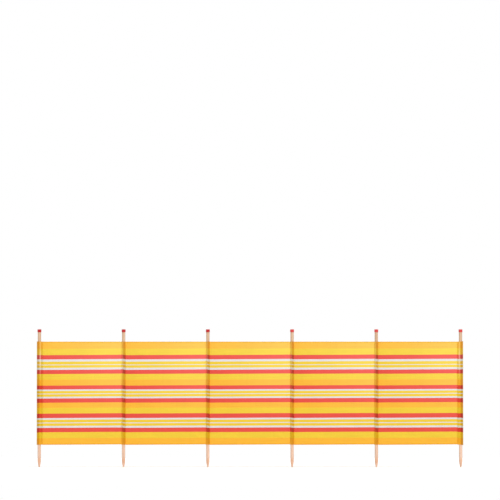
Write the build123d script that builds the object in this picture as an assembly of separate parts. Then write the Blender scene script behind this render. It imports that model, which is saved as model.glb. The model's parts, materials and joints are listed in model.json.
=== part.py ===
from build123d import *
import math
import os

# Beach windbreak: bays of striped fabric on pointed wooden poles, stood open in a straight line.
# Millimetres. +X runs along the windbreak, +Z is up and the front faces -Y.
# The origin is the centre of the blunt tip under the left end pole.

# Layout: bare wood shows below the fabric, and above it up to the head of each pole
BAY_COUNT = 5
POLE_PITCH = 733.0
WOOD_BELOW_FABRIC = 198.0
FABRIC_HEIGHT = 894.0
WOOD_ABOVE_FABRIC = 105.0

# Poles: a round dowel with a turned point at its foot
POLE_DIAMETER = 29.0
POINT_LENGTH = 64.0
TIP_DIAMETER = 11.5
TIP_CHAMFER = 0.8

# Caps: a soft plastic cup pushed over the head of each pole, with a bevelled shoulder
CAP_WALL = 2.5
CAP_SKIRT = 22.0
CAP_CROWN = 3.0
CAP_BEVEL_WIDTH = 2.0
CAP_BEVEL_HEIGHT = 2.4
CAP_CLEARANCE = 0.1

# Fabric: one layer, and what is sewn from it
CLOTH = 0.6
HEM_WIDTH = 8.0

# Pockets: two layers round a pole that meet at a stitched seam on the side of each bay.
# A wing is the slack between the pole and the line where the two layers meet.
POCKET_CLEARANCE = 0.3
INNER_WING = 1.5
END_SEAM_WING = 10.5
END_FOLD_WING = 8.0
SEAM_LIP = 3.0

# Running gap between a pocket's seam and the bay that swings about that pole
HINGE_GAP = 0.3

POLE_COUNT = BAY_COUNT + 1
POLE_RADIUS = POLE_DIAMETER / 2
FABRIC_BOTTOM = WOOD_BELOW_FABRIC
FABRIC_TOP = FABRIC_BOTTOM + FABRIC_HEIGHT
POLE_LENGTH = FABRIC_TOP + WOOD_ABOVE_FABRIC
POCKET_BORE_RADIUS = POLE_RADIUS + POCKET_CLEARANCE
DOUBLE_CLOTH = 2 * CLOTH


def pole():
    """Dowel turned to a curved point that runs smoothly into the round of the shaft."""
    tip_radius = TIP_DIAMETER / 2
    shoulder = (POLE_RADIUS, 0, POINT_LENGTH)
    foot = (tip_radius, 0, 0)
    head = (POLE_RADIUS, 0, POLE_LENGTH)
    point = TangentArc(shoulder, foot, tangent=(0, 0, -1))
    outline = Polyline(foot, (0, 0, 0), (0, 0, POLE_LENGTH), head, shoulder)
    turned = revolve(make_face(Curve() + [point, outline]), Axis.Z)
    return chamfer(turned.edges().group_by(Axis.Z)[0], TIP_CHAMFER)


def cap():
    """Cup made with the underside of its crown, which rests on the pole's head, at height 0."""
    bore_radius = POLE_RADIUS + CAP_CLEARANCE
    outer_radius = bore_radius + CAP_WALL
    inside = Polyline((0, CAP_CROWN), (0, 0), (bore_radius, 0), (bore_radius, -CAP_SKIRT))
    outside = Polyline(
        (bore_radius, -CAP_SKIRT),
        (outer_radius, -CAP_SKIRT),
        (outer_radius, CAP_CROWN - CAP_BEVEL_HEIGHT),
        (outer_radius - CAP_BEVEL_WIDTH, CAP_CROWN),
        (0, CAP_CROWN),
    )
    return revolve(make_face(Plane.XZ * (inside + outside)), Axis.Z)


def pocket_hollow(left_wing, right_wing):
    """Outline inside a pocket: tight round the pole, then straight to the seam on each side."""
    radius = POCKET_BORE_RADIUS
    left_tip = radius + left_wing
    right_tip = radius + right_wing
    left_angle = math.acos(radius / left_tip)
    right_angle = math.acos(radius / right_tip)
    left_x = -radius * math.cos(left_angle)
    left_y = radius * math.sin(left_angle)
    right_x = radius * math.cos(right_angle)
    right_y = radius * math.sin(right_angle)
    back = Line((right_tip, 0), (right_x, right_y))
    back += ThreePointArc((right_x, right_y), (0, radius), (left_x, left_y))
    back += Line((left_x, left_y), (-left_tip, 0))
    front = Line((-left_tip, 0), (left_x, -left_y))
    front += ThreePointArc((left_x, -left_y), (0, -radius), (right_x, -right_y))
    front += Line((right_x, -right_y), (right_tip, 0))
    return make_face(back + front)


def seam_lip(wing, side):
    """The two layers laid flat together beyond the seam, on side -1 or +1."""
    tip = POCKET_BORE_RADIUS + wing
    return Pos(side * (tip + SEAM_LIP / 2), 0) * Rectangle(SEAM_LIP, DOUBLE_CLOTH)


def pocket(left_wing, right_wing, seam_sides):
    """Sleeve of fabric round a pole, with a lip at each seam and a plain fold elsewhere."""
    hollow = pocket_hollow(left_wing, right_wing)
    section = offset(hollow, CLOTH, kind=Kind.ARC)
    for side in seam_sides:
        section += seam_lip(left_wing if side < 0 else right_wing, side)
    section -= hollow
    return Pos(0, 0, FABRIC_BOTTOM) * extrude(section, FABRIC_HEIGHT)


def seam_reach(wing):
    """Distance from a pole's axis to the free edge of its seam lip."""
    return POCKET_BORE_RADIUS + wing + SEAM_LIP


def panel(start, end):
    """One bay of fabric from x = start to x = end, hemmed along its top and bottom."""
    middle = (FABRIC_BOTTOM + FABRIC_TOP) / 2
    section = Pos(0, middle) * Rectangle(CLOTH, FABRIC_HEIGHT)
    for hem_middle in (FABRIC_BOTTOM + HEM_WIDTH / 2, FABRIC_TOP - HEM_WIDTH / 2):
        section += Pos(0, hem_middle) * Rectangle(DOUBLE_CLOTH, HEM_WIDTH)
    return Pos(start, 0, 0) * extrude(Plane.YZ * section, end - start)


parts = {}

for index in range(POLE_COUNT):
    number = index + 1
    x = index * POLE_PITCH
    is_left_end = index == 0
    is_right_end = index == POLE_COUNT - 1
    if is_left_end:
        sleeve = pocket(END_FOLD_WING, END_SEAM_WING, (1,))
    elif is_right_end:
        sleeve = pocket(END_SEAM_WING, END_FOLD_WING, (-1,))
    else:
        sleeve = pocket(INNER_WING, INNER_WING, (-1, 1))
    parts[f"pole_{number}"] = Pos(x, 0, 0) * pole()
    parts[f"cap_{number}"] = Pos(x, 0, POLE_LENGTH) * cap()
    parts[f"pocket_{number}"] = Pos(x, 0, 0) * sleeve

for index in range(BAY_COUNT):
    number = index + 1
    left_pole_x = index * POLE_PITCH
    right_pole_x = left_pole_x + POLE_PITCH
    is_first = index == 0
    is_last = index == BAY_COUNT - 1
    left_reach = seam_reach(END_SEAM_WING) if is_first else seam_reach(INNER_WING) + HINGE_GAP
    right_reach = seam_reach(END_SEAM_WING) if is_last else seam_reach(INNER_WING)
    parts[f"panel_{number}"] = panel(left_pole_x + left_reach, right_pole_x - right_reach)

os.makedirs("parts", exist_ok=True)
for name, piece in parts.items():
    export_step(piece, f"parts/{name}.step")
    size = piece.bounding_box().size
    print(f"{name}: {piece.volume / 1000:.2f} cm3, {size.X:.1f} x {size.Y:.1f} x {size.Z:.1f} mm")
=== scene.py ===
# %% [markdown]
# # A beach windbreak, dressed in Blender
#
# A windbreak is a long strip of striped cloth that stands on wooden poles pushed into the sand.
# This one has five bays of woven plastic tape cloth, six turned poles with pointed feet, and a
# red plastic cap on the head of each pole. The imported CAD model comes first, as a fixed frame:
# every piece made below takes its place and its size from a node of that frame.

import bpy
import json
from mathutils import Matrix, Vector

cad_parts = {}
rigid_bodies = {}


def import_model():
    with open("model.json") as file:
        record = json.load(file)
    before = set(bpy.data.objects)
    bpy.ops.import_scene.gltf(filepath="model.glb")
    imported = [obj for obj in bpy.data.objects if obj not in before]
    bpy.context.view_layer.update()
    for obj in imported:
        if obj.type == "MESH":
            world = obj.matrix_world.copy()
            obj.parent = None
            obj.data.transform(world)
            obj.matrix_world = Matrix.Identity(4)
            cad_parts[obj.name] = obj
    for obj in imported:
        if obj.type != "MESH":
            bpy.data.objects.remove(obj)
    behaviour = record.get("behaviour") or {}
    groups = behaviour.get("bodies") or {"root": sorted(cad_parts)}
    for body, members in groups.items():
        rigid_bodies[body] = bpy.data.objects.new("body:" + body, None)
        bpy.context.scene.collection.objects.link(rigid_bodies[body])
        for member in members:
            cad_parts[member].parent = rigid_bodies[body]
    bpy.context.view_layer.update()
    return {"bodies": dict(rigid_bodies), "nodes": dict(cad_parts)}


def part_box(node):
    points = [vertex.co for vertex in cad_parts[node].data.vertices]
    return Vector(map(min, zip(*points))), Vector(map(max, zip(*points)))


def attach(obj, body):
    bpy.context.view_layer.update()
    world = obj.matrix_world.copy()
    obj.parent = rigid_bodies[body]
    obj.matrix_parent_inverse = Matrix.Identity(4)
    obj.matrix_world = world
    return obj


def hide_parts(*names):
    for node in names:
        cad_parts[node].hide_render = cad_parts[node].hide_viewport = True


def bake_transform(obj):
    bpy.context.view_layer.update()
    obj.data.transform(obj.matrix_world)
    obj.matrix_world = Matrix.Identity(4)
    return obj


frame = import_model()

# %% [markdown]
# ## The camera
#
# The photograph looks straight at the front of the cloth from so far away that nothing in it
# gets smaller with distance. A long lens far off does the same. The windbreak fills the lower
# part of the picture, so the camera stands level with the lower part of the cloth and looks
# a little over the poles.

# %% Place the camera
import json
import math

import bpy
from mathutils import Vector, noise

METRES_PER_PIXEL = 0.008697
PICTURE_PIXELS = 500
SENSOR_WIDTH = 36.0
CAMERA_DISTANCE = 40.0
EYE_HEIGHT = 0.35
AIM_X, AIM_HEIGHT = 1.8327, 1.8907

camera_data = bpy.data.cameras.new("camera")
camera = bpy.data.objects.new("camera", camera_data)
bpy.context.scene.collection.objects.link(camera)
bpy.context.scene.camera = camera
aim_rise = AIM_HEIGHT - EYE_HEIGHT
aim_angle = math.atan2(aim_rise, CAMERA_DISTANCE)
sight_length = CAMERA_DISTANCE * math.cos(aim_angle)
camera_data.sensor_width = SENSOR_WIDTH
camera_data.lens = SENSOR_WIDTH * sight_length / (PICTURE_PIXELS * METRES_PER_PIXEL)
camera_data.clip_start, camera_data.clip_end = 1.0, 200.0
camera.location = (AIM_X, -CAMERA_DISTANCE, EYE_HEIGHT)
camera.rotation_euler = (math.pi / 2 + aim_angle, 0, 0)
print("lens", round(camera_data.lens, 1), "mm")

# %% [markdown]
# ## Working by hand, in code
#
# Blender's operators act on whatever is selected, and the frame leaves its own nodes selected.
# So each piece starts with nothing selected, is shaped in edit mode, and ends with its object
# at the origin and its place in its mesh. Modifiers are applied at once, so that the mesh that
# shows is the mesh that is kept.

# %% Small helpers
def deselect():
    """Leaves edit mode, with nothing selected."""
    if bpy.context.object and bpy.context.object.mode == "EDIT":
        bpy.ops.object.mode_set(mode="OBJECT")
    bpy.ops.object.select_all(action="DESELECT")


def pick(piece):
    deselect()
    piece.select_set(True)
    bpy.context.view_layer.objects.active = piece


def start(name):
    """Names the new object and opens it in edit mode, with all of it selected."""
    piece = bpy.context.object
    piece.name = piece.data.name = name
    bpy.ops.object.mode_set(mode="EDIT")
    bpy.ops.mesh.select_all(action="SELECT")
    return piece


def apply_modifier(piece, kind, **settings):
    pick(piece)
    modifier = piece.modifiers.new(kind.lower(), kind)
    for key, value in settings.items():
        setattr(modifier, key, value)
    bpy.ops.object.modifier_apply(modifier=modifier.name)


def settle(piece, smooth_angle=30.0):
    """Puts the object at the origin and shades it smooth, up to an angle."""
    pick(piece)
    bpy.ops.object.transform_apply(location=True, rotation=True, scale=True)
    bpy.ops.object.shade_smooth_by_angle(angle=math.radians(smooth_angle))
    return piece


def face_outwards(piece):
    pick(piece)
    bpy.ops.object.mode_set(mode="EDIT")
    bpy.ops.mesh.select_all(action="SELECT")
    bpy.ops.mesh.normals_make_consistent(inside=False)
    deselect()


def copy_at(model, name, place):
    """A copy of a finished model with its own mesh, moved to place in that mesh."""
    piece = bpy.data.objects.new(name, model.data.copy())
    piece.data.name = name
    bpy.context.scene.collection.objects.link(piece)
    piece.location = place
    pick(piece)
    bpy.ops.object.transform_apply(location=True, rotation=False, scale=False)
    return piece


def discard(model):
    bpy.data.objects.remove(model)


def report(piece):
    low = [min(v.co[k] for v in piece.data.vertices) for k in range(3)]
    high = [max(v.co[k] for v in piece.data.vertices) for k in range(3)]
    size = " x ".join(f"{(b - a) * 1000:.1f}" for a, b in zip(low, high))
    print(f"{piece.name}: {len(piece.data.polygons)} faces, {size} mm")


def axis_of(node):
    """Where the upright axis of a round node stands, and the node's lowest and highest z."""
    low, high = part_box(node)
    return (low.x + high.x) / 2, low.z, high.z


# %% [markdown]
# ## The poles
#
# Each pole is a round dowel, turned to a curved point that runs into the shaft without a
# corner, with a worn, rounded tip one centimetre across. A cylinder and a cone would do, but
# they leave a corner where the real pole has none. Instead a disc the size of the tip is
# extruded upwards in small steps, and each ring is resized to the arc's radius at its height.
# A Bevel modifier then rounds the tip, and with it the head, which the cap hides.

# %% Turn one pole
POLE_SIDES = 32
POLE_RADIUS = 0.0145
TIP_RADIUS = 0.0050
TIP_ROUNDING = 0.0034
POINT_LENGTH = 0.064
POINT_STEPS = 12
SHAFT_STEPS = 8

_, pole_foot, pole_head = axis_of("pole_1")
arc_rise = POLE_RADIUS - TIP_RADIUS
ARC_RADIUS = (POINT_LENGTH**2 + arc_rise**2) / (2 * arc_rise)


def point_radius(height):
    """Radius of the point at a height: an arc that meets the shaft upright."""
    below = max(0.0, POINT_LENGTH - height)
    return POLE_RADIUS - ARC_RADIUS + math.sqrt(ARC_RADIUS**2 - below**2)


def raise_ring(step, grow):
    bpy.ops.mesh.extrude_region_move(TRANSFORM_OT_translate={"value": (0, 0, step)})
    bpy.ops.transform.resize(value=(grow, grow, 1))


deselect()
bpy.ops.mesh.primitive_circle_add(vertices=POLE_SIDES, radius=TIP_RADIUS, fill_type="NGON")
pole_model = start("pole_model")
ring_heights = [POINT_LENGTH * k / POINT_STEPS for k in range(POINT_STEPS + 1)]
for lower, upper in zip(ring_heights, ring_heights[1:]):
    raise_ring(upper - lower, point_radius(upper) / point_radius(lower))
for _ in range(SHAFT_STEPS):
    raise_ring((pole_head - pole_foot - POINT_LENGTH) / SHAFT_STEPS, 1)
face_outwards(pole_model)
apply_modifier(pole_model, "BEVEL", width=TIP_ROUNDING, segments=4, limit_method="ANGLE",
               angle_limit=math.radians(40))
settle(pole_model)
report(pole_model)

# %% [markdown]
# ## The caps
#
# A cap is a soft plastic cup, pushed over the head of its pole. Its wall is thin, its crown is
# slightly domed with a broad rounded shoulder, and its open rim is cut square. A cup is
# quickest from the inside out: the ceiling disc comes first, then its rim is extruded down,
# out, up and over the top in two steps, and the hole that is left is filled.

# %% Mould one cap
CAP_SIDES = 40
CAP_BORE = 0.0146
CAP_WALL = 0.0025
CROWN_RISE = 0.0007
SHOULDER_WIDTH = 0.0024

_, cap_rim, cap_top = axis_of("cap_1")


def push_ring(drop, grow):
    bpy.ops.mesh.extrude_edges_move(TRANSFORM_OT_translate={"value": (0, 0, drop)})
    bpy.ops.transform.resize(value=(grow, grow, 1))


deselect()
bpy.ops.mesh.primitive_circle_add(
    vertices=CAP_SIDES, radius=CAP_BORE, fill_type="NGON", location=(0, 0, pole_head))
cap_model = start("cap_model")
bpy.ops.mesh.select_mode(type="EDGE")
bpy.ops.mesh.select_all(action="SELECT")
push_ring(cap_rim - pole_head, 1)
push_ring(0, (CAP_BORE + CAP_WALL) / CAP_BORE)
push_ring(cap_top - CROWN_RISE - cap_rim, 1)
push_ring(CROWN_RISE * 0.75, 0.6)
push_ring(CROWN_RISE * 0.25, 0.5)
bpy.ops.mesh.edge_face_add()
face_outwards(cap_model)

# %% Round the shoulder
def bevel_ring(piece, height, least_radius, width, segments):
    """Bevels the ring of edges at a height, outside a radius."""
    pick(piece)
    bpy.ops.object.mode_set(mode="EDIT")
    bpy.ops.mesh.select_mode(type="VERT")
    bpy.ops.mesh.select_all(action="DESELECT")
    bpy.ops.object.mode_set(mode="OBJECT")
    for v in piece.data.vertices:
        outside = math.hypot(v.co.x, v.co.y) > least_radius
        world_z = (piece.matrix_world @ v.co).z
        v.select = outside and abs(world_z - height) < 1e-5
    bpy.ops.object.mode_set(mode="EDIT")
    bpy.ops.mesh.select_mode(type="EDGE")
    bpy.ops.mesh.bevel(offset=width, segments=segments, affect="EDGES")
    deselect()


bevel_ring(cap_model, cap_top - CROWN_RISE, CAP_BORE + CAP_WALL / 2, SHOULDER_WIDTH, 5)
settle(cap_model)
report(cap_model)

# %% [markdown]
# ## Cloth from a flat cut
#
# The bays and the pockets are cut from flat cloth and sewn, so they are made that way here: a
# grid stands for the flat cut, and each of its points is moved to where sewing and hanging put
# it. The grid's flat measures become the UV map, in metres. So the stripes and the weave run
# with the cloth wherever it turns, which they would not do on object coordinates.

# %% Sew a sheet
CLOTH_THICKNESS = 0.0006


def sew(name, across, up, place, rules):
    """A sheet whose columns and rows are cut at the flat measures across and up.

    place(u, v) is where a point of the cut ends up, and each rule gives a named value there.
    """
    columns, rows = len(across) - 1, len(up) - 1
    deselect()
    bpy.ops.mesh.primitive_grid_add(x_subdivisions=columns, y_subdivisions=rows, size=1)
    piece = bpy.context.object
    piece.name = piece.data.name = name
    mesh = piece.data
    flat = []
    for v in mesh.vertices:
        u = across[round((v.co.x + 0.5) * columns)]
        w = up[round((v.co.y + 0.5) * rows)]
        flat.append((u, w))
        v.co = place(u, w)
    for layer in list(mesh.uv_layers):
        mesh.uv_layers.remove(layer)
    uv = mesh.uv_layers.new(name="cloth")
    for loop in mesh.loops:
        uv.data[loop.index].uv = flat[loop.vertex_index]
    for key, value_at in rules.items():
        values = mesh.attributes.new(key, "FLOAT", "POINT")
        for v, (u, w) in zip(values.data, flat):
            v.value = value_at(u, w)
    return piece


def close_tube(piece):
    """Joins the first and last columns of a sheet that was rolled up."""
    pick(piece)
    bpy.ops.object.mode_set(mode="EDIT")
    bpy.ops.mesh.select_all(action="SELECT")
    bpy.ops.mesh.remove_doubles(threshold=1e-6)
    deselect()


def thicken(piece):
    face_outwards(piece)
    apply_modifier(piece, "SOLIDIFY", thickness=CLOTH_THICKNESS, offset=0)
    return settle(piece, 60)


# %% [markdown]
# ## The pockets
#
# A pocket is two layers of cloth sewn together on each side of a pole. Round the pole the
# layers lie tight on the wood, and from there they run straight to the seam, where they lie
# flat on each other in a narrow lip. On the two end poles the cloth is slacker, and the outer
# side is a plain fold. The section is worked out once as a closed path, and the flat cut is
# rolled along it.

# %% The section of a pocket
# To the middle of the cloth: from the plane of the bays in a lip, and from the pole's axis
LAYER_OFFSET = 0.00034
TUBE_RADIUS = 0.0151
# Wings and lips are counted from the CAD pocket's inside
POLE_BORE = 0.0148
INNER_WING, END_SEAM_WING, END_FOLD_WING = 0.0015, 0.0105, 0.0070
SEAM_LIP = 0.003
# How far past the seam a layer aims as it leaves the pole
PAST_SEAM = 0.0006
WING_STEP = 0.003
ARC_STEPS = 7
INNER_REACH = POLE_BORE + INNER_WING + SEAM_LIP


def layer_edge(wing, lip, arc_points):
    """Points on one side of a layer, from its edge along the lip and the wing to the pole."""
    tip = POLE_BORE + wing
    turn = math.acos(TUBE_RADIUS / (tip + PAST_SEAM))
    touch_x, touch_y = TUBE_RADIUS * math.cos(turn), TUBE_RADIUS * math.sin(turn)
    points = [(tip + lip * share, LAYER_OFFSET) for share in (1, 0.5)] if lip else []
    steps = 3 + round(wing / WING_STEP)
    for k in range(steps):
        points.append((tip + (touch_x - tip) * k / steps,
                       LAYER_OFFSET + (touch_y - LAYER_OFFSET) * k / steps))
    for k in range(arc_points):
        angle = turn + (math.pi / 2 - turn) * k / ARC_STEPS
        points.append((TUBE_RADIUS * math.cos(angle), TUBE_RADIUS * math.sin(angle)))
    return points


def half_section(left_wing, right_wing, left_lip, right_lip):
    """Points along one layer from its left edge to its right edge, in front of the pole."""
    left = [(-x, -y) for x, y in layer_edge(left_wing, left_lip, ARC_STEPS + 1)]
    right = [(x, -y) for x, y in layer_edge(right_wing, right_lip, ARC_STEPS)]
    return left + right[::-1]


def section(left_wing, right_wing, left_lip=SEAM_LIP, right_lip=SEAM_LIP):
    front = half_section(left_wing, right_wing, left_lip, right_lip)
    back = [(x, -y) for x, y in reversed(front)]
    return front + back + front[:1]


def lengths_along(path):
    """Flat measure of each point of the path from its start."""
    along = [0.0]
    for (x0, y0), (x1, y1) in zip(path, path[1:]):
        along.append(along[-1] + math.hypot(x1 - x0, y1 - y0))
    return along


inner_path = section(INNER_WING, INNER_WING)
left_end_path = section(END_FOLD_WING, END_SEAM_WING, 0.0, SEAM_LIP)
right_end_path = section(END_SEAM_WING, END_FOLD_WING, SEAM_LIP, 0.0)
for path in (inner_path, left_end_path, right_end_path):
    print("pocket cut", round(lengths_along(path)[-1] * 1000, 1), "mm wide")

# %% [markdown]
# The pockets are cut a few millimetres longer than the bays, and their stripes don't meet
# those of the bays exactly, because the cloth was pulled up a little when they were sewn. From
# bay to bay the stripes climb by half a millimetre more, and the last pocket has slipped down
# by a few. The cloth puckers a little between its stitches, most where it is slack.

# %% The lie of the pockets
POLE_COUNT = sum(node.startswith("pole_") for node in frame["nodes"])
BAY_COUNT = POLE_COUNT - 1
POLES, BAYS = range(1, POLE_COUNT + 1), range(1, BAY_COUNT + 1)
# Extra length at the top and bottom of a pocket, and more of it at an end pole's outer fold
POCKET_SPARE = 0.0012
END_SPARE = {1: 0.0018, POLE_COUNT: 0.0044}
POCKET_PUCKER, POCKET_WAVE = 0.00045, 0.052
POLE_BULGE = 0.00035
# How far the lower edge and the stripes of each bay rise from its left end to its right
BAY_RISE = 0.0042
STRIPE_CLIMB = 0.0006
END_SLIP = {1: 0.0, POLE_COUNT: -0.0025}

cloth_low, cloth_high = (corner.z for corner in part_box("panel_1"))
CLOTH_HEIGHT = cloth_high - cloth_low
pole_places = [axis_of(f"pole_{number}")[0] for number in POLES]


def ease(x):
    """0 below 0, 1 above 1 and smooth between."""
    x = min(1.0, max(0.0, x))
    return x * x * (3 - 2 * x)


def rise(x, start, width):
    """0 up to the start, 1 from a width beyond it and smooth between."""
    return ease((x - start) / width)


def near(x, middle, width):
    """1 at the middle, and smoothly down to 0 at a width to either side."""
    return ease(1 - abs(x - middle) / width)


def outer_side(number):
    """The free side of an end pole's pocket, -1 or 1, and 0 for an inner pole."""
    return {1: -1, POLE_COUNT: 1}.get(number, 0)


def climb(bay):
    """How far the stripes of a bay stand above those of the middle bay."""
    return STRIPE_CLIMB * (bay - (BAY_COUNT + 1) / 2)


def bulge(number, x, y, v):
    """How much the waves and puckers of the cloth widen a pocket at a point of its section."""
    slack = rise(abs(x), 0.010, 0.012) * min(1.0, abs(y) / 0.002)
    drift = 2.0 * noise.noise((0, v * 9, number))
    wave = math.sin(v * 2 * math.pi / POCKET_WAVE + number * 1.7 + drift)
    out = POCKET_PUCKER * slack * wave + POLE_BULGE * (1 + wave) * (1 - slack)
    return 1 + out / max(abs(y), 0.004)


print("cloth", round(CLOTH_HEIGHT, 4), "high, poles at", [round(x, 3) for x in pole_places])

# %% [markdown]
# Each point of a pocket also carries values that the cloth's material reads: how much of the
# pole shows through, with its painted shade, how many layers lie there, how sunlit the cloth
# is, how much light and shade are painted on the end pockets, how strong the painted highlight
# beside the pole is and how far its stripes are shifted. Each is a function of the distance x
# from the pole's axis and of the share of the height, up. On the end poles a streak of painted
# light lies on the slack cloth between pole and seam.

# %% What each point of a pocket shows
WOOD_EDGE, WOOD_FADE = 0.0135, 0.006
# How far from the axis the light streaks lie
END_STREAK = {1: 0.0078, POLE_COUNT: 0.0104}
INNER_STREAK = 0.0087


def sunlight(across, up):
    """How sunlit a bay's cloth is at a share of the way across it and up it."""
    return 0.25 * rise(up, 0.66, 0.34) + across * (0.05 + 0.75 * rise(up, 0.05, 0.75))


# Painted shade over a pole: the wood shows through the cloth, and the pole's shadow in the light
# that comes through it is painted in. The lit left side of an inner pole gets less of it, as
# painted light.
def shade_over_wood(number, x, up):
    side = outer_side(number)
    if side:
        past_wood = rise(x * side, WOOD_EDGE, WOOD_FADE)
        return rise(x * side, -0.0085, 0.014) * (1 - 0.5 * past_wood)
    lit_side = 0.85 * rise(-x, 0.001, 0.009)
    return rise(-abs(x), -POLE_BORE - 0.0004, 0.003) * (1 - lit_side)


def second_layer(number, x, up):
    # On an inner pole the left side keeps less of the second layer's depth: painted light on that
    # side
    return 1.0 if outer_side(number) else 1 - 0.4 * rise(-x, 0.006, 0.006)


def sunlit(number, x, up):
    side = outer_side(number)
    if not side:
        return sunlight(rise(-x, -0.006, 0.012), up)
    streak = near(x * side, -END_STREAK[number], 0.009) * rise(up, 0.55, 0.45)
    rim = rise(x * side, WOOD_EDGE, WOOD_FADE)
    return 0.35 * sunlight(float(side > 0), up) + rim + 0.6 * streak


# Painted highlight: a whitish sheen near the head of a pocket, strongest in a streak beside the
# pole
def painted_sheen(number, x, up):
    side = outer_side(number)
    near_head = rise(up, 0.60, 0.24) * (1 - 0.7 * rise(up, 0.86, 0.08))
    if side:
        return (0.03 + 0.26 * near(x * side, -END_STREAK[number], 0.0095)) * near_head
    beside_pole = near(x, -INNER_STREAK, 0.010)
    return 0.05 * near_head * beside_pole + 0.012 * rise(up, 0.25, 0.55)


def painted_light_and_shade(number, x, up):
    """Painted light (+) or painted shade (-), on the two end pockets only."""
    # The first pocket gets painted shade by its seam. The last gets painted light on its inner
    # side, and painted shade at its seam lip and over its outer half, less towards the top.
    if number == 1:
        return -0.10 * rise(x, 0.011, 0.006)
    if number == POLE_COUNT:
        painted_light = rise(-x, -0.001, 0.008) * rise(x, -0.026, 0.008)
        lip = rise(-x, 0.022, 0.004)
        return 0.11 * painted_light - 0.13 * lip - (0.19 - 0.10 * up) * rise(x, -0.003, 0.010)
    return 0.0


def stripe_shift(number, x, up):
    side = outer_side(number)
    if side:
        return side * BAY_RISE / 2 + climb(min(number, BAY_COUNT)) + END_SLIP[number]
    return -BAY_RISE / 2 * x / INNER_REACH


# %% Sew the six pockets
POCKET_ROWS = 90
POCKET_VALUES = {"shade_over_wood": shade_over_wood, "second_layer": second_layer, "sunlit": sunlit,
                 "painted_sheen": painted_sheen, "painted_light_and_shade": painted_light_and_shade, "stripe_shift": stripe_shift}


def make_pocket(number, path):
    along = lengths_along(path)
    at = dict(zip(along, path))
    side = outer_side(number)
    spread = max(abs(x) for x, _ in path)
    rows = [CLOTH_HEIGHT * k / POCKET_ROWS for k in range(POCKET_ROWS + 1)]

    def place(u, v):
        x, y = at[u]
        outward = ease(x * side / spread)
        spare = POCKET_SPARE + END_SPARE.get(number, 0.0) * outward
        low, high = cloth_low - spare, cloth_high + spare
        return (pole_places[number - 1] + x, y * bulge(number, x, y, v),
                low + (high - low) * (v / CLOTH_HEIGHT))

    def at_each_point(rule):
        return lambda u, v: rule(number, at[u][0], v / CLOTH_HEIGHT)

    values = {key: at_each_point(rule) for key, rule in POCKET_VALUES.items()}
    piece = sew(f"pocket_cloth_{number}", along, rows, place, values)
    close_tube(piece)
    return thicken(piece)


pocket_paths = {number: inner_path for number in POLES}
pocket_paths[1], pocket_paths[POLE_COUNT] = left_end_path, right_end_path
pockets = {}
for number in POLES:
    pockets[number] = make_pocket(number, pocket_paths[number])
    report(pockets[number])

# %% [markdown]
# ## The bays
#
# Each bay is one layer of cloth between two seams, with a hem folded to the back along its top
# and bottom edges. Pulled between two poles it is nearly flat. What keeps it from looking like
# a board is small: a shallow belly, long soft folds that run from the corners, ripples along
# the hems, and short puckers along the seams. The folds die out towards each pole, so that two
# bays can lie against each other when the windbreak is folded.

# %% The hang of a bay
HEM_WIDTH = 0.009
HEM_GAP = 0.00066
# A bay laps over the lips, and over the gap that the CAD bay leaves where it turns
LIP_OVERLAP = 0.001
HINGE_GAP = 0.0003
# Nearer a pole than this the folds die out
FREE_FROM_POLE = 0.16
BELLY = 0.0045
SOFT_FOLD = 0.0030
CORNER_FOLD = 0.0016
HEM_RIPPLE, RIPPLE_LENGTH, RIPPLE_FADE = 0.0009, 0.083, 0.035
SEAM_PUCKER, PUCKER_LENGTH, PUCKER_FADE = 0.0005, 0.047, 0.030


def corner_folds(bay, x, z):
    """Folds that fan out from the four corners of a bay, and die out with the distance."""
    left, right = pole_places[bay - 1], pole_places[bay]
    fold = 0.0
    for corner_x, corner_z, seed in ((left, cloth_high, 0.3), (right, cloth_high, 1.9),
                                     (left, cloth_low, 4.2), (right, cloth_low, 5.6)):
        reach = math.hypot(x - corner_x, z - corner_z)
        angle = math.atan2(abs(z - corner_z), abs(x - corner_x) + 1e-6)
        ray = math.sin(angle * 13 + seed + bay * 1.3) * math.exp(-((angle - 0.62) / 0.42) ** 2)
        fold += CORNER_FOLD * ray * ease(reach / 0.12) * math.exp(-reach / 0.34)
    return fold


def hem_ripple(bay, x, from_edge):
    """Short waves along a hem."""
    phase = x * 2 * math.pi / RIPPLE_LENGTH + bay * 2.2 + 1.5 * noise.noise((x * 6, bay, 0))
    return HEM_RIPPLE * math.exp(-from_edge / RIPPLE_FADE) * math.sin(phase)


def seam_pucker(bay, z, from_seam):
    """Short puckers along a seam, which hold off from the seam itself."""
    clear = min(1.0, max(0.0, from_seam) / 0.022)
    phase = z * 2 * math.pi / PUCKER_LENGTH + bay + 2.4 * noise.noise((bay, z * 8, 1))
    return SEAM_PUCKER * clear * math.exp(-from_seam / PUCKER_FADE) * math.sin(phase)


def hang(bay, x, z):
    """How far the cloth of a bay stands behind (+) or before (-) its flat plane at x and z."""
    left, right = pole_places[bay - 1], pole_places[bay]
    share = (x - left) / (right - left)
    height = (z - cloth_low) / CLOTH_HEIGHT
    from_pole = min(x - left, right - x)
    from_edge = min(z - cloth_low, cloth_high - z)
    free = ease(from_pole / FREE_FROM_POLE)
    belly = -BELLY * math.sin(math.pi * share) ** 2 * (0.65 + 0.35 * math.sin(math.pi * height))
    soft = SOFT_FOLD * noise.noise((x * 4.2 + bay * 7.1, z * 2.1, bay * 3.3))
    folds = soft + corner_folds(bay, x, z) + hem_ripple(bay, x, from_edge)
    hem_centred = -HEM_GAP / 2 * ease(1 - (from_edge - HEM_WIDTH) / 0.02)
    return belly + folds * free + seam_pucker(bay, z, from_pole - INNER_REACH) + hem_centred


def bay_span(bay):
    """Where the cloth of a bay starts and ends, on the seam lips of its two pockets."""
    low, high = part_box(f"panel_{bay}")
    gap = HINGE_GAP if bay > 1 else 0.0
    return low.x - LIP_OVERLAP - gap, high.x + LIP_OVERLAP


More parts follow.
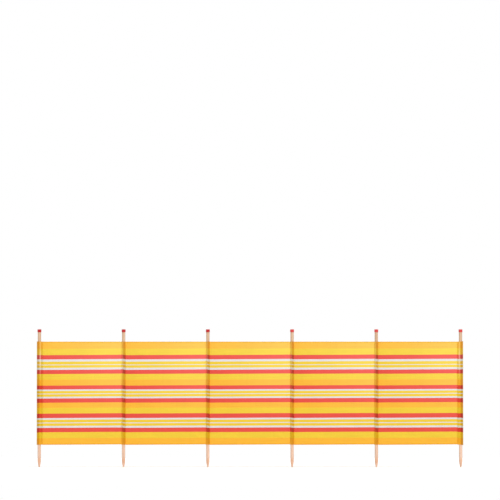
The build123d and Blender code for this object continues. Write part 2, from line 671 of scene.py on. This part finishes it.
print("bay widths", [round(x1 - x0, 4) for x0, x1 in map(bay_span, BAYS)])

# %% Sew the five bays
BAY_COLUMNS, BAY_ROWS = 92, 112
TURN_ROWS, HEM_ROWS = 3, 3
END_TURNING = 0.006


def hem_profile():
    """Flat measure, drop from the folded edge and depth behind the cloth, along one hem."""
    turn_length = math.pi * HEM_GAP / 2
    profile = []
    for k in range(1, TURN_ROWS + 1):
        angle = math.pi * k / TURN_ROWS
        profile.append((turn_length * k / TURN_ROWS, -HEM_GAP / 2 * math.sin(angle),
                        HEM_GAP / 2 * (1 - math.cos(angle))))
    for k in range(1, HEM_ROWS + 1):
        width = HEM_WIDTH * k / HEM_ROWS
        profile.append((turn_length + width, width, HEM_GAP))
    return profile


def make_bay(bay):
    x0, x1 = bay_span(bay)
    columns = [(x1 - x0) * k / BAY_COLUMNS for k in range(BAY_COLUMNS + 1)]
    hem = hem_profile()
    rows = [-flat for flat, _, _ in reversed(hem)]
    rows += [CLOTH_HEIGHT * k / BAY_ROWS for k in range(BAY_ROWS + 1)]
    rows += [CLOTH_HEIGHT + flat for flat, _, _ in hem]
    hem_at = {}
    for flat, drop, depth in hem:
        hem_at[-flat] = (drop, depth)
        hem_at[CLOTH_HEIGHT + flat] = (CLOTH_HEIGHT - drop, depth)

    def place(u, v):
        height, depth = hem_at.get(v, (v, 0.0))
        tilt = BAY_RISE * (u / columns[-1] - 0.5) * (1 - height / CLOTH_HEIGHT)
        x, z = x0 + u, cloth_low + height + tilt
        return (x, hang(bay, x, z) + depth, z)

    def shift_at(u, v):
        return BAY_RISE * (u / columns[-1] - 0.5) * (v / CLOTH_HEIGHT) + climb(bay)

    def sunlit_at(u, v):
        return sunlight(u / columns[-1], v / CLOTH_HEIGHT)

    def second_layer_at(u, v):
        from_end = {1: u, BAY_COUNT: columns[-1] - u}.get(bay, 1.0)
        return ease(1.5 - from_end / END_TURNING)

    return thicken(sew(f"bay_cloth_{bay}", columns, rows, place,
                       {"stripe_shift": shift_at, "sunlit": sunlit_at,
                        "second_layer": second_layer_at}))


bays = {}
for bay in BAYS:
    bays[bay] = make_bay(bay)
    report(bays[bay])

# %% [markdown]
# ## The stitching
#
# Lockstitch shows as a row of short raised threads, each a little sunk at its ends. One stitch
# is modelled, an Array modifier repeats it along a row, and the row is then laid on the cloth
# with the same measure that hung the cloth. Each stitch has few faces, since there are
# thousands of them.

# %% Model one stitch
STITCH_LENGTH = 0.0034
STITCH_PITCH = 0.0048
THREAD_RADIUS = 0.00028
CROWN_SHARE, END_SHARE = 0.56, 0.22
STITCH_SINK = 0.00022
END_TAPER = 0.55

deselect()
bpy.ops.mesh.primitive_cylinder_add(
    vertices=6, radius=THREAD_RADIUS, depth=STITCH_LENGTH * CROWN_SHARE, end_fill_type="NGON")
stitch_model = start("stitch_model")
bpy.ops.mesh.select_mode(type="FACE")
for end in (-1, 1):
    bpy.ops.mesh.select_all(action="DESELECT")
    bpy.ops.object.mode_set(mode="OBJECT")
    for face in stitch_model.data.polygons:
        face.select = face.normal.z * end > 0.9
    bpy.ops.object.mode_set(mode="EDIT")
    bpy.ops.mesh.extrude_region_move(
        TRANSFORM_OT_translate={"value": (0, STITCH_SINK, end * STITCH_LENGTH * END_SHARE)})
    bpy.ops.transform.resize(value=(END_TAPER, END_TAPER, 1))
settle(stitch_model)
report(stitch_model)

# %% Repeat it along a row and lay the row on the cloth
def stitch_row(length):
    """Stitches in a row up from z = 0, with y = 0 on the cloth and their crowns at -y."""
    row = copy_at(stitch_model, "stitch_row", (0, 0, STITCH_PITCH / 2))
    apply_modifier(row, "ARRAY", count=int(length / STITCH_PITCH), use_relative_offset=False,
                   use_constant_offset=True, constant_offset_displace=(0, 0, STITCH_PITCH))
    return row


def lay_row(points, along_x, side, place):
    """Turns a copy of a row of stitches and moves each of its points by place(x, z, out)."""
    piece = bpy.data.objects.new("row", points.data.copy())
    bpy.context.scene.collection.objects.link(piece)
    for v in piece.data.vertices:
        x, out, z = v.co
        if along_x:
            x, z = z, x
        v.co = place(x, z, out * side)
    return piece


def join(rows, name):
    pick(rows[0])
    for row in rows[1:]:
        row.select_set(True)
    bpy.ops.object.join()
    piece = bpy.context.object
    piece.name = piece.data.name = name
    face_outwards(piece)
    return settle(piece, 50)


# %% Stitch the seams
ROW_INSET = 0.002

seam_row = stitch_row(CLOTH_HEIGHT - 2 * ROW_INSET)
seam_stitching = {}
lip_middle = POLE_BORE + SEAM_LIP / 2
for number in POLES:
    seams = {1: [(1, END_SEAM_WING)], POLE_COUNT: [(-1, END_SEAM_WING)]}.get(
        number, [(-1, INNER_WING), (1, INNER_WING)])
    rows = []
    for side, wing in seams:
        seam_x = pole_places[number - 1] + side * (lip_middle + wing)
        for face_side in (1, -1):
            surface = (LAYER_OFFSET + CLOTH_THICKNESS / 2) * face_side

            def on_lip(x, z, out):
                return (seam_x + x, out - surface, cloth_low + ROW_INSET + z)

            rows.append(lay_row(seam_row, False, face_side, on_lip))
    seam_stitching[number] = join(rows, f"seam_stitching_{number}")
discard(seam_row)
print("stitched", len(seam_stitching), "pockets")

# %% Stitch the hems
HEM_ROW_INSET = HEM_WIDTH * 0.72

hem_stitching = {}
for bay in BAYS:
    x0, x1 = bay_span(bay)
    hem_row = stitch_row(x1 - x0 - 2 * ROW_INSET)
    rows = []
    for end in (0, 1):
        for face_side in (1, -1):
            lift = CLOTH_THICKNESS / 2 if face_side > 0 else -(HEM_GAP + CLOTH_THICKNESS / 2)

            def on_hem(x, z, out):
                u = ROW_INSET + x
                tilt = BAY_RISE * (u / (x1 - x0) - 0.5) * (1 - end)
                height = cloth_high - HEM_ROW_INSET if end else cloth_low + HEM_ROW_INSET + tilt
                return (x0 + u, hang(bay, x0 + u, height) + out - lift, height + z)

            rows.append(lay_row(hem_row, True, face_side, on_hem))
    hem_stitching[bay] = join(rows, f"hem_stitching_{bay}")
    discard(hem_row)
discard(stitch_model)
print("stitched", len(hem_stitching), "bays")

# %% [markdown]
# ## Shader groups
#
# The look of the cloth has three parts: the stripes, which are the colours of the tapes that
# run along it; the weave, in which tapes pass over and under each other; and streaks, since no
# two tapes have quite the same colour or shine. Images could hold all three, but math nodes
# stay sharp at any distance. Each part is a group with named inputs, so that bays and pockets
# share them. The helpers below each add one kind of node, to keep the groups short.

# %% Node helpers
WHITE = (1.0, 1.0, 1.0, 1.0)


def add(tree, kind, place=(0, 0), **settings):
    node = tree.nodes.new(kind)
    node.location = place
    for key, value in settings.items():
        setattr(node, key, value)
    return node


def new_group(name, inputs, outputs):
    """A node group, with its input and its output node."""
    group = bpy.data.node_groups.new(name, "ShaderNodeTree")
    for key, kind, value in inputs:
        socket = group.interface.new_socket(name=key, in_out="INPUT", socket_type=kind)
        if value is not None:
            socket.default_value = value
    for key, kind in outputs:
        group.interface.new_socket(name=key, in_out="OUTPUT", socket_type=kind)
    return group, add(group, "NodeGroupInput", (-900, 0)), add(group, "NodeGroupOutput", (900, 0))


def fill(tree, socket, value):
    """Sets a socket to a value, or links it to the socket that the value comes from."""
    if isinstance(value, (int, float, tuple)):
        socket.default_value = value
    else:
        tree.links.new(value, socket)


def calculate(tree, operation, *values):
    """A Math node; each value is a number or the socket that it comes from."""
    node = add(tree, "ShaderNodeMath", operation=operation)
    for socket, value in zip(node.inputs, values):
        fill(tree, socket, value)
    return node.outputs[0]


def mix_colours(tree, factor, first, second, blend="MIX"):
    node = add(tree, "ShaderNodeMix", data_type="RGBA", blend_type=blend, clamp_factor=True)
    fill(tree, node.inputs[0], factor)
    fill(tree, node.inputs[6], first)
    fill(tree, node.inputs[7], second)
    return node.outputs[2]


def split_axes(tree, vector):
    """The x, y and z of a vector, as three sockets."""
    node = add(tree, "ShaderNodeSeparateXYZ")
    tree.links.new(vector, node.inputs[0])
    return node.outputs[:3]


def map_range(tree, value, span, results):
    """A value that goes from the first to the second result across a span, and stays there."""
    node = add(tree, "ShaderNodeMapRange")
    limits = zip(("From Min", "From Max", "To Min", "To Max"), (*span, *results))
    for key, limit in limits:
        node.inputs[key].default_value = limit
    tree.links.new(value, node.inputs[0])
    return node.outputs[0]


def noise_at(tree, vector, scale, detail=2.0, roughness=0.5):
    """A noise texture on a vector that is first stretched by scale, which has three numbers."""
    stretch = add(tree, "ShaderNodeVectorMath", operation="MULTIPLY")
    tree.links.new(vector, stretch.inputs[0])
    stretch.inputs[1].default_value = scale
    texture = add(tree, "ShaderNodeTexNoise")
    texture.inputs["Scale"].default_value = 1.0
    texture.inputs["Detail"].default_value = detail
    texture.inputs["Roughness"].default_value = roughness
    tree.links.new(stretch.outputs[0], texture.inputs["Vector"])
    return texture.outputs["Fac"]


def on_screen(red, green, blue):
    """Blender's linear colour for one that shows on screen with these values, up to 255."""
    def linear(c):
        c /= 255
        return c / 12.92 if c <= 0.04045 else ((c + 0.055) / 1.055) ** 2.4
    return (linear(red), linear(green), linear(blue), 1.0)


# %% [markdown]
# ## The stripes
#
# A stripe is a run of tapes of one colour. One Color Ramp over all the stripes would be
# simplest, but it keeps only 256 colours, so each of its edges could be 3 mm out of place.
# Instead a number stands for the colour at a depth below the top edge. It steps up or down at
# the lower edge of each stripe, and a ramp with one stop for each colour turns it into that.

# %% The stripes
# Each colour has three shades: plain, in full light, and over a pole, where the wood shows
# through and painted shade of the pole darkens it
SHADES = {
    "orange": ((241, 177, 50), (244, 197, 86), (206, 135, 14)),
    "yellow": ((231, 196, 53), (244, 213, 81), (204, 155, 0)),
    "red": ((222, 76, 63), (240, 100, 92), (171, 46, 26)),
    "white": ((215, 214, 215), (228, 226, 225), (196, 190, 180)),
}
# From the top edge down, each stripe and its width, near enough in millimetres
STRIPES = (
    ("orange", 59), ("yellow", 55),
    ("red", 37), ("white", 20), ("yellow", 25), ("white", 6),
    ("yellow", 22), ("white", 18), ("red", 36),
    ("yellow", 49), ("orange", 51),
    ("red", 34), ("white", 14), ("yellow", 21), ("white", 7),
    ("yellow", 21), ("white", 15), ("red", 37),
    ("orange", 44), ("yellow", 50),
    ("red", 39), ("white", 15), ("yellow", 23), ("white", 8),
    ("yellow", 22), ("white", 17), ("red", 38),
    ("yellow", 51), ("orange", 58),
)
STRIPE_WOBBLE = 0.0012
stripe_total = sum(width for _, width in STRIPES)
print("stripes", len(STRIPES), "over", stripe_total, "mm")

stripes, stripes_in, stripes_out = new_group(
    "Stripes", [("Cloth", "NodeSocketVector", None), ("Shift", "NodeSocketFloat", 0.0)],
    [("Plain", "NodeSocketColor"), ("Sunlit", "NodeSocketColor"), ("Shaded On Wood", "NodeSocketColor")])
_, up, _ = split_axes(stripes, stripes_in.outputs["Cloth"])
uneven = noise_at(stripes, stripes_in.outputs["Cloth"], (7.0, 40.0, 1.0))
depth = calculate(stripes, "SUBTRACT", CLOTH_HEIGHT, up)
depth = calculate(stripes, "ADD", depth, stripes_in.outputs["Shift"])
depth = calculate(stripes, "MULTIPLY_ADD", uneven, STRIPE_WOBBLE, depth)
depth = calculate(stripes, "SUBTRACT", depth, STRIPE_WOBBLE / 2)

colour_names = list(SHADES)
numbers = [colour_names.index(name) for name, _ in STRIPES]
colour_number = float(numbers[0])
reached = 0.0
for (_, width), before, after in zip(STRIPES, numbers, numbers[1:]):
    reached += width
    passed = calculate(stripes, "GREATER_THAN", depth, CLOTH_HEIGHT * reached / stripe_total)
    colour_number = calculate(stripes, "MULTIPLY_ADD", passed, float(after - before),
                              colour_number)
on_ramp = calculate(stripes, "MULTIPLY_ADD", colour_number, 1 / len(SHADES), 0.5 / len(SHADES))
for shade, output in enumerate(("Plain", "Sunlit", "Shaded On Wood")):
    ramp = add(stripes, "ShaderNodeValToRGB")
    ramp.color_ramp.interpolation = "CONSTANT"
    stops = ramp.color_ramp.elements
    for index, colours in enumerate(SHADES.values()):
        start_at = index / len(SHADES)
        stop = stops[index] if index < 2 else stops.new(start_at)
        stop.position, stop.color = start_at, on_screen(*colours[shade])
    stripes.links.new(on_ramp, ramp.inputs[0])
    stripes.links.new(ramp.outputs[0], stripes_out.inputs[output])

# %% [markdown]
# ## The weave and the streaks
#
# The tapes are flat and about two millimetres wide, and cross like a chequerboard. Modelled one
# by one they would make millions of faces. Here the rows and columns are counted with FLOOR,
# and an even or odd sum says which tape is on top. Half a sine, raised to a power below one,
# gives it flat crowns with steep sides. The streaks are noise stretched along one direction.

# %% The weave
TAPE_WIDTH = 0.0022
TAPE_CROWN = 0.45

weave, weave_in, weave_out = new_group(
    "Weave", [("Cloth", "NodeSocketVector", None), ("Tape", "NodeSocketFloat", TAPE_WIDTH)],
    [("Height", "NodeSocketFloat")])
counts, crowns = [], []
for axis in split_axes(weave, weave_in.outputs["Cloth"])[:2]:
    count = calculate(weave, "DIVIDE", axis, weave_in.outputs["Tape"])
    wave = calculate(weave, "SINE", calculate(weave, "MULTIPLY", count, math.pi))
    crown = calculate(weave, "POWER", calculate(weave, "ABSOLUTE", wave), TAPE_CROWN)
    counts.append(calculate(weave, "FLOOR", count))
    crowns.append(crown)
tape_sum = calculate(weave, "ABSOLUTE", calculate(weave, "ADD", *counts))
over = calculate(weave, "MODULO", tape_sum, 2.0)
under = calculate(weave, "SUBTRACT", 1.0, over)
height = calculate(weave, "ADD", calculate(weave, "MULTIPLY", crowns[1], over),
                   calculate(weave, "MULTIPLY", crowns[0], under))
weave.links.new(height, weave_out.inputs["Height"])

# %% The streaks
# Each streak's scale along and across the cloth, its detail and its roughness
STREAKS = {"Along": ((3.0, 210.0, 1.0), 4.0, 0.6), "Across": ((170.0, 4.0, 1.0), 3.0, 0.6),
           "Cloud": ((5.0, 9.0, 1.0), 3.0, 0.55)}

streaks, streaks_in, streaks_out = new_group(
    "Streaks", [("Cloth", "NodeSocketVector", None)],
    [(name, "NodeSocketFloat") for name in STREAKS])
for name, settings in STREAKS.items():
    streak = noise_at(streaks, streaks_in.outputs["Cloth"], *settings)
    streaks.links.new(streak, streaks_out.inputs[name])
print("groups", [group.name for group in bpy.data.node_groups])

# %% [markdown]
# ## The cloth
#
# Plastic cloth lets light through. Where two layers lie together the colour is deeper, and
# over a pole it is darker and browner: the wood shows behind it, and the pole's shadow in the
# light that comes through the cloth is painted in as shade. A Gamma node deepens a colour the
# way a second layer does. The pieces carry named values that say where each of these holds,
# and where light and shade are painted, so one material serves all the cloth.

# %% Material helpers
def attribute(tree, name):
    return add(tree, "ShaderNodeAttribute", attribute_name=name).outputs["Fac"]


def new_material(name):
    """A material with its node tree and its shader."""
    material = bpy.data.materials.new(name)
    material.use_nodes = True
    return material, material.node_tree, material.node_tree.nodes["Principled BSDF"]


def use_group(tree, group, vector):
    node = add(tree, "ShaderNodeGroup")
    node.node_tree = group
    tree.links.new(vector, node.inputs["Cloth"])
    return node


def paint(tree, shader, colour, roughness, specular=0.5):
    fill(tree, shader.inputs["Base Color"], colour)
    fill(tree, shader.inputs["Roughness"], roughness)
    shader.inputs["Specular IOR Level"].default_value = specular


def raise_bumps(tree, shader, height, strength, distance):
    bump = add(tree, "ShaderNodeBump")
    bump.inputs["Strength"].default_value = strength
    bump.inputs["Distance"].default_value = distance
    tree.links.new(height, bump.inputs["Height"])
    tree.links.new(bump.outputs[0], shader.inputs["Normal"])


def object_place(tree):
    """The place of a point in its object, in metres."""
    return add(tree, "ShaderNodeTexCoord").outputs["Object"]


# %% Cloth material
SECOND_LAYER_TINT = (0.945, 0.985, 0.82, 1.0)
SECOND_LAYER_GAMMA = 0.23
# The colour of the painted highlight on the pockets
SHEEN_COLOUR = on_screen(255, 236, 232)
# How much each streak changes the tone, and the least tone that it leaves
STREAK_TONES = {"Along": (0.30, 0.85), "Across": (0.10, 0.95), "Cloud": (0.10, 0.95)}
# How much a tape's crown lightens the tone, and the tone at its edges: painted shade between the
# tapes
TAPE_GROOVE_SHADE = (0.12, 0.895)

cloth, tree, shader = new_material("striped_cloth")
cloth_map = add(tree, "ShaderNodeUVMap", uv_map="cloth").outputs[0]
stripe = use_group(tree, stripes, cloth_map)
fill(tree, stripe.inputs["Shift"], attribute(tree, "stripe_shift"))
streak = use_group(tree, streaks, cloth_map)
tape = use_group(tree, weave, cloth_map)

# The tone starts from the painted light and shade on the end pockets
tone = calculate(tree, "ADD", attribute(tree, "painted_light_and_shade"), 1.0)
for name, (amount, least) in STREAK_TONES.items():
    part = calculate(tree, "MULTIPLY_ADD", streak.outputs[name], amount, least)
    tone = calculate(tree, "MULTIPLY", tone, part)
part = calculate(tree, "MULTIPLY_ADD", tape.outputs["Height"], *TAPE_GROOVE_SHADE)
tone = calculate(tree, "MULTIPLY", tone, part)

_, up, _ = split_axes(tree, cloth_map)
from_edge = calculate(tree, "MINIMUM", up, calculate(tree, "SUBTRACT", CLOTH_HEIGHT, up))
hem = calculate(tree, "LESS_THAN", from_edge, HEM_WIDTH)
layers = calculate(tree, "MAXIMUM", hem, attribute(tree, "second_layer"))

single = mix_colours(tree, attribute(tree, "sunlit"),
                     stripe.outputs["Plain"], stripe.outputs["Sunlit"])
deepen = add(tree, "ShaderNodeGamma")
tree.links.new(single, deepen.inputs[0])
tree.links.new(calculate(tree, "MULTIPLY_ADD", layers, SECOND_LAYER_GAMMA, 1.0),
               deepen.inputs[1])
double = mix_colours(tree, layers, deepen.outputs[0], SECOND_LAYER_TINT, "MULTIPLY")
# Over a pole the colour turns to the shade with the wood behind it and the pole's painted shade
colour = mix_colours(tree, attribute(tree, "shade_over_wood"), double, stripe.outputs["Shaded On Wood"])
# The painted highlight on the pockets is mixed in
colour = mix_colours(tree, attribute(tree, "painted_sheen"), colour, SHEEN_COLOUR)
toned = add(tree, "ShaderNodeVectorMath", operation="SCALE")
tree.links.new(colour, toned.inputs[0])
tree.links.new(tone, toned.inputs["Scale"])
dull = calculate(tree, "MULTIPLY_ADD", streak.outputs["Along"], 0.20, 0.34)
paint(tree, shader, toned.outputs[0], dull, 0.2)
raise_bumps(tree, shader, tape.outputs["Height"], 0.45, 0.0003)

# %% [markdown]
# ## The wood
#
# The poles are pale softwood, unvarnished, with fine streaks of grain along them. The pattern
# reads object coordinates, stretched along the pole, so each pole has grain of its own. The
# points are darker, and paler again towards the tips, and above the middle of the cloth a
# pole is a little darker.

# %% Wood material
WOOD_LIGHT, WOOD_DARK = on_screen(241, 208, 186), on_screen(206, 161, 131)
PORE_BROWN = on_screen(150, 105, 70)
POINT_TINT = (0.95, 0.83, 0.73, 1.0)
HEAD_TINT = (0.83, 0.82, 0.71, 1.0)
SHOULDER_FADE, TIP_FADE = (0.062, 0.096), (0.010, 0.055)

wood, tree, shader = new_material("pole_wood")
spot = object_place(tree)
fine = noise_at(tree, spot, (420.0, 420.0, 9.0), 4.0, 0.65)
broad = noise_at(tree, spot, (90.0, 90.0, 2.2), 3.0, 0.5)
fleck = noise_at(tree, spot, (700.0, 700.0, 55.0), 2.0, 0.5)
grain = calculate(tree, "MULTIPLY_ADD", fine, 0.9, calculate(tree, "MULTIPLY", broad, 0.6))
dark = map_range(tree, grain, (0.55, 1.0), (0.0, 1.0))
colour = mix_colours(tree, dark, WOOD_LIGHT, WOOD_DARK)
pores = calculate(tree, "GREATER_THAN", fleck, 0.67)
colour = mix_colours(tree, calculate(tree, "MULTIPLY", pores, 0.35), colour, PORE_BROWN)

_, _, height = split_axes(tree, spot)
turned = map_range(tree, height, SHOULDER_FADE, (1.0, 0.0))
off_tip = map_range(tree, height, TIP_FADE, (0.4, 1.0))
tint = mix_colours(tree, calculate(tree, "MULTIPLY", turned, off_tip), WHITE, POINT_TINT)
# Above the middle of the cloth a pole is a little darker
above_middle = calculate(tree, "GREATER_THAN", height, (cloth_low + cloth_high) / 2)
tint = mix_colours(tree, above_middle, tint, HEAD_TINT)
paint(tree, shader, mix_colours(tree, 1.0, colour, tint, "MULTIPLY"),
      calculate(tree, "MULTIPLY_ADD", fine, 0.15, 0.55))
raise_bumps(tree, shader, grain, 0.25, 0.0003)

# %% [markdown]
# ## The plastic and the thread
#
# The caps are glossy red plastic with the soft unevenness of a cheap moulding. The last three
# are paler, so the colour changes with the place along the windbreak, which saves a second
# material. The thread is waxed yellow polyester, twisted too finely to model.

# %% Plastic material
FULL_REDS = on_screen(164, 15, 19), on_screen(202, 33, 35)
PALE_REDS = on_screen(196, 52, 50), on_screen(226, 78, 76)

plastic, tree, shader = new_material("cap_plastic")
spot = object_place(tree)
blotch = noise_at(tree, spot, (160.0, 160.0, 160.0), 2.0)
along, _, _ = split_axes(tree, spot)
paler = calculate(tree, "GREATER_THAN", along, (pole_places[2] + pole_places[3]) / 2)
full_red = mix_colours(tree, blotch, *FULL_REDS)
pale_red = mix_colours(tree, blotch, *PALE_REDS)
paint(tree, shader, mix_colours(tree, paler, full_red, pale_red),
      calculate(tree, "MULTIPLY_ADD", blotch, 0.18, 0.24), 0.35)
pitting = noise_at(tree, spot, (900.0, 900.0, 900.0), 2.0)
raise_bumps(tree, shader, pitting, 0.12, 0.0002)

# %% Thread material
THREAD_YELLOWS = on_screen(236, 176, 60), on_screen(255, 214, 120)

thread, tree, shader = new_material("waxed_thread")
twist = noise_at(tree, object_place(tree), (2600.0, 2600.0, 1300.0), 1.0)
paint(tree, shader, mix_colours(tree, twist, *THREAD_YELLOWS), 0.5)
raise_bumps(tree, shader, twist, 0.4, 0.0001)
print("materials", [material.name for material in (cloth, wood, plastic, thread)])

# %% [markdown]
# ## Putting the pieces on their bodies
#
# Poles, caps and bays each ride on one body of the frame, and so do the two end pockets and
# their stitching. A pocket on an inner pole is sewn to two bays that fold against each other;
# it and its stitching stay where they are, on no body.

# %% Ride and replace
def finish_with(piece, material, slot):
    piece.data.materials.clear()
    piece.data.materials.append(material)


body_of_node = {node: name for name in frame["bodies"] for node in frame["nodes"]
                if frame["nodes"][node].parent is frame["bodies"][name]}
for number in POLES:
    stand = (pole_places[number - 1], 0, 0)
    body = body_of_node[f"pole_{number}"]
    for model, name, node, material, slot in (
            (pole_model, f"dowel_{number}", f"pole_{number}", wood, "pole_wood"),
            (cap_model, f"moulded_cap_{number}", f"cap_{number}", plastic, "cap_plastic")):
        piece = copy_at(model, name, stand)
        finish_with(piece, material, slot)
        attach(piece, body)
        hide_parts(node)
discard(pole_model)
discard(cap_model)

for number in POLES:
    finish_with(pockets[number], cloth, "striped_fabric")
    finish_with(seam_stitching[number], thread, "striped_fabric")
    for piece in (pockets[number], seam_stitching[number]):
        if number in (1, POLE_COUNT):
            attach(piece, body_of_node[f"pocket_{number}"])
        else:
            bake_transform(piece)
    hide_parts(f"pocket_{number}")

for bay in BAYS:
    finish_with(bays[bay], cloth, "striped_fabric")
    finish_with(hem_stitching[bay], thread, "striped_fabric")
    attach(bays[bay], f"bay_{bay}")
    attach(hem_stitching[bay], f"bay_{bay}")
    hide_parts(f"panel_{bay}")
print("dressed", POLE_COUNT, "poles, caps and pockets, and", BAY_COUNT, "bays")

# %% Work out what each sheet was cut to
for number in POLES:
    cut_width = lengths_along(pocket_paths[number])[-1]
for bay in BAYS:
    x0, x1 = bay_span(bay)

# %% [markdown]
# ## The floor
#
# The windbreak stands on a pale floor that takes its shadow. To blend into the white
# background the floor glows a little, but only for rays that come from the camera, so that it
# doesn't light the object from below.

# %% The floor
def seen_directly(tree):
    """1 for rays from the camera, also by way of a gloss or through glass, and 0 for others."""
    rays = add(tree, "ShaderNodeLightPath")
    camera_ray, glossy_ray, through_glass = (
        rays.outputs[key] for key in ("Is Camera Ray", "Is Glossy Ray", "Is Transmission Ray"))
    seen = calculate(tree, "MAXIMUM", camera_ray, glossy_ray)
    return calculate(tree, "MAXIMUM", seen, through_glass)


FLOOR_GLOW = 0.25
FLOOR_SIZE = 24
FLOOR_GREYS = (0.88, 0.88, 0.88, 1.0), (0.92, 0.92, 0.92, 1.0)

deselect()
bpy.ops.mesh.primitive_grid_add(
    x_subdivisions=8, y_subdivisions=8, size=FLOOR_SIZE, location=(AIM_X, 0, 0))
floor = bpy.context.object
floor.name = floor.data.name = "floor"
floor_paint, tree, shader = new_material("floor_paint")
faint = noise_at(tree, object_place(tree), (1.5, 1.5, 1.5), 2.0)
paint(tree, shader, mix_colours(tree, faint, *FLOOR_GREYS), 0.9, 0.0)
shader.inputs["Emission Color"].default_value = WHITE
tree.links.new(calculate(tree, "MULTIPLY", seen_directly(tree), FLOOR_GLOW),
               shader.inputs["Emission Strength"])
floor.data.materials.append(floor_paint)

# %% [markdown]
# ## Light and background
#
# The light is plain and soft. It comes mostly from the whole sky, and a broad sun from the
# front and the right gives the poles their round. Thin plastic cloth is also lit through from
# its other side. Translucent shading takes longer to render clean, so instead a weaker sun
# from behind stands for that, and the back is seen at nearly the same level as the front. The
# background is white for the camera and in reflections only, so it doesn't light the object.

# %% The two suns and the sky
SKY_LIGHT = 0.63
SUN_STRENGTH, FILL_STRENGTH = 1.55, 0.7
SUN_TURN, SUN_HEIGHT = math.radians(20), math.radians(38)
SUN_SPREAD = math.radians(25)


def hang_sun(name, strength, turn):
    """A broad sun, turned about the windbreak from straight in front of it."""
    sun_data = bpy.data.lights.new(name, "SUN")
    sun_data.energy = strength
    sun_data.angle = SUN_SPREAD
    sun = bpy.data.objects.new(name, sun_data)
    bpy.context.scene.collection.objects.link(sun)
    level = math.cos(SUN_HEIGHT)
    towards = Vector((math.sin(turn) * level, -math.cos(turn) * level, math.sin(SUN_HEIGHT)))
    sun.rotation_euler = towards.to_track_quat("Z", "Y").to_euler()


hang_sun("sun", SUN_STRENGTH, SUN_TURN)
hang_sun("fill", FILL_STRENGTH, SUN_TURN + math.pi)
print("lights", [light.name for light in bpy.data.lights])

world = bpy.data.worlds.new("sky")
bpy.context.scene.world = world
world.use_nodes = True
tree = world.node_tree
sky = tree.nodes["Background"]
sky.inputs["Color"].default_value = WHITE
tree.links.new(calculate(tree, "MULTIPLY_ADD", seen_directly(tree), 1 - SKY_LIGHT, SKY_LIGHT),
               sky.inputs["Strength"])
bpy.context.scene.view_settings.view_transform = "Standard"
